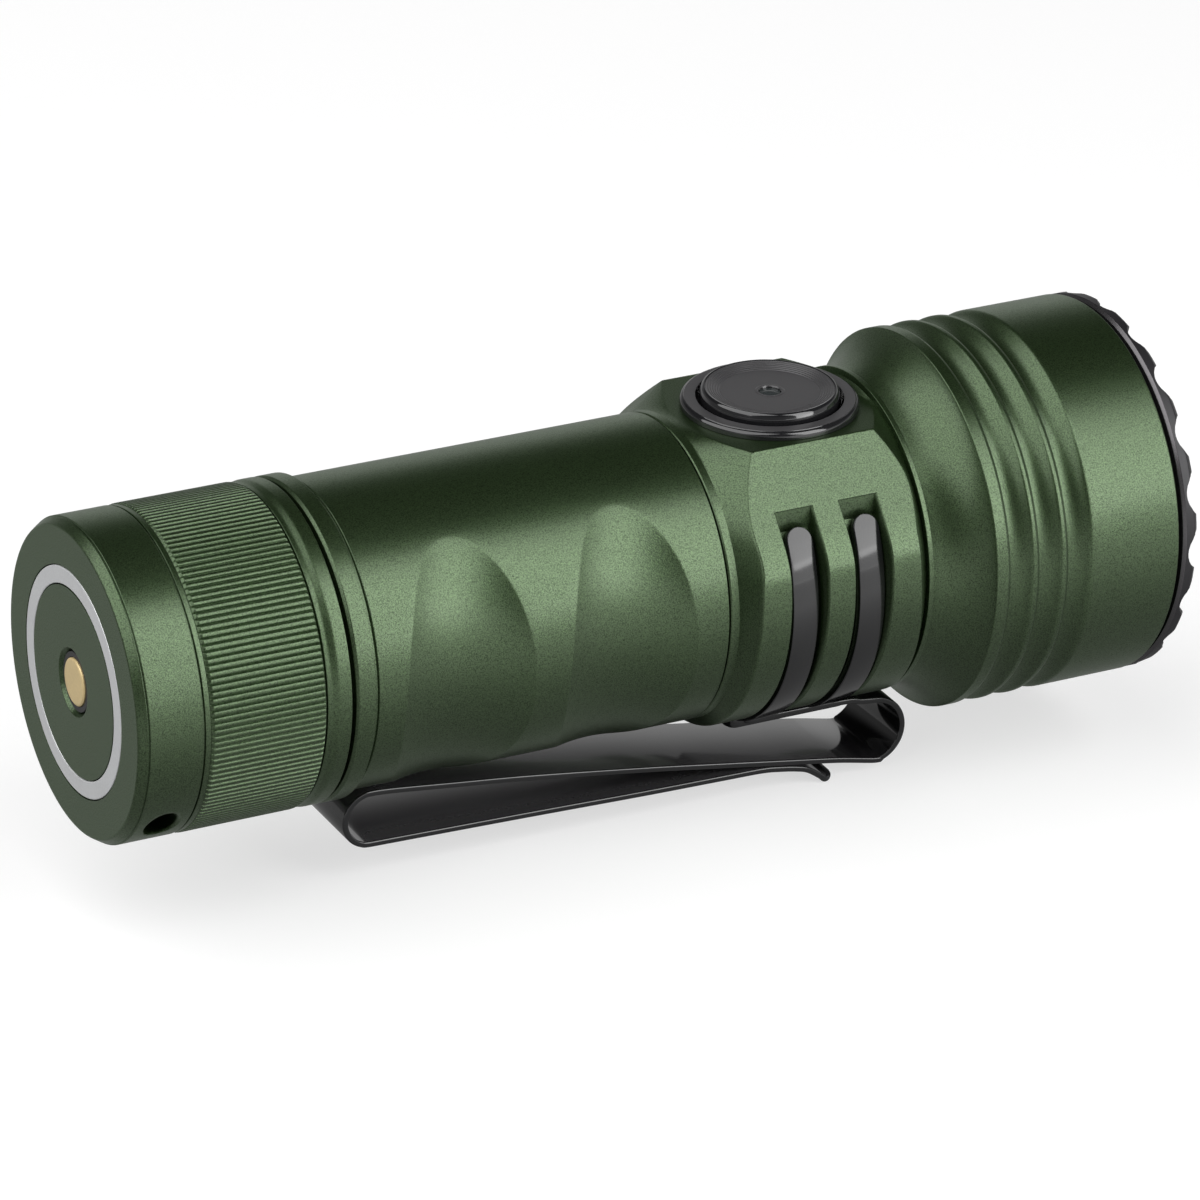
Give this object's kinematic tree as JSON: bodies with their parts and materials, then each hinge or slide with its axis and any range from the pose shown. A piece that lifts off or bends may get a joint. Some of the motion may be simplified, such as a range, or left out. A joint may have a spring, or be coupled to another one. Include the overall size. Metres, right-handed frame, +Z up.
{
  "type": "pocket flashlight",
  "caption": "Short round pocket flashlight with a screwed knurled tail cap, a charging ring, a side push switch, a two-way spring clip and a ribbed head with a scalloped bezel.",
  "frame": {"origin": "centre of the tail contact's flush face, on the flashlight's own axis", "axes": "+X along the flashlight from the tail to the lens, +Z up through the switch, +Y completes a right-handed frame, so the clip is at -Z"},
  "size_m": [0.0919, 0.0314, 0.0363],
  "materials": {
    "green_aluminium": "matte bead-blasted anodised",
    "black_metal": "gloss black",
    "bezel_black": "gloss black anodised",
    "grey_metal": "satin dark grey",
    "button_rubber": "satin dark grey",
    "silver": "satin nickel",
    "brass": "satin",
    "steel": "plain",
    "rubber": "matte",
    "plastic_black": "matte",
    "plastic_white": "matte",
    "board": "board green",
    "board_white": "white solder mask",
    "glass": "clear coated",
    "mirror": "vapour-coated",
    "phosphor": "gloss",
    "cell_wrap": "wrapped",
    "red_wire": "matte"
  },
  "bodies": {
    "light": {"body_tube": "green_aluminium", "tail_o_ring": "rubber", "head_o_ring": "rubber", "head_shell": "green_aluminium", "switch_flange": "grey_metal", "tact_switch": "steel", "switch_board": "board", "front_contact": "brass", "driver_ring": "grey_metal", "driver_board": "board", "driver_coil": "plastic_black", "driver_chip": "plastic_black", "lead_positive": "red_wire", "lead_negative": "rubber", "led_board": "board_white", "led_base": "plastic_white", "led_dome": "phosphor", "centring_ring": "plastic_white", "reflector": "mirror", "lens_gasket": "rubber", "lens": "glass", "front_o_ring": "rubber", "bezel": "bezel_black", "clip_base": "black_metal"},
    "button": {"switch_button": "button_rubber", "indicator_lens": "plastic_black", "switch_boot": "rubber", "tact_plunger": "plastic_black"},
    "clip_tongue": {"clip_arm": "black_metal"},
    "cell": {"cell_can": "cell_wrap", "cell_collar": "plastic_white", "cell_cap": "steel"},
    "spring_pad": {"tail_spring": "steel"},
    "tail": {"tail_cap": "green_aluminium", "charging_ring": "silver", "contact_sleeve": "plastic_black", "tail_contact": "brass", "tail_magnet": "steel", "tail_board": "board", "tail_retainer": "grey_metal"}
  },
  "joints": [
    {"name": "button_press", "type": "slide", "parent": "light", "child": "button", "axis": [0, 0, -1], "range_m": [0, 0.0005], "stiffness_N_per_m": 3000, "springref_m": -0.0002},
    {"name": "clip_flex", "type": "hinge", "parent": "light", "child": "clip_tongue", "pos_m": [0.0237, 0, -0.01771], "axis": [0, 1, 0], "range_deg": [0, 5], "stiffness_Nm_per_rad": 1.5, "springref_deg": -2.86},
    {"name": "cell_draw", "type": "slide", "parent": "light", "child": "cell", "axis": [-1, 0, 0], "range_m": [0, 0.055]},
    {"name": "cap_travel", "type": "slide", "parent": "cell", "child": "spring_pad", "axis": [-1, 0, 0], "range_m": [0, 0.005]},
    {"name": "cap_turn", "type": "hinge", "parent": "spring_pad", "child": "tail", "pos_m": [0.009, 0, 0], "axis": [-1, 0, 0], "range_deg": [0, 1800]}
  ],
  "couplings": [
    {"joint": "cap_travel", "follows": "cap_turn", "m_per_rad": 0.000159}
  ]
}
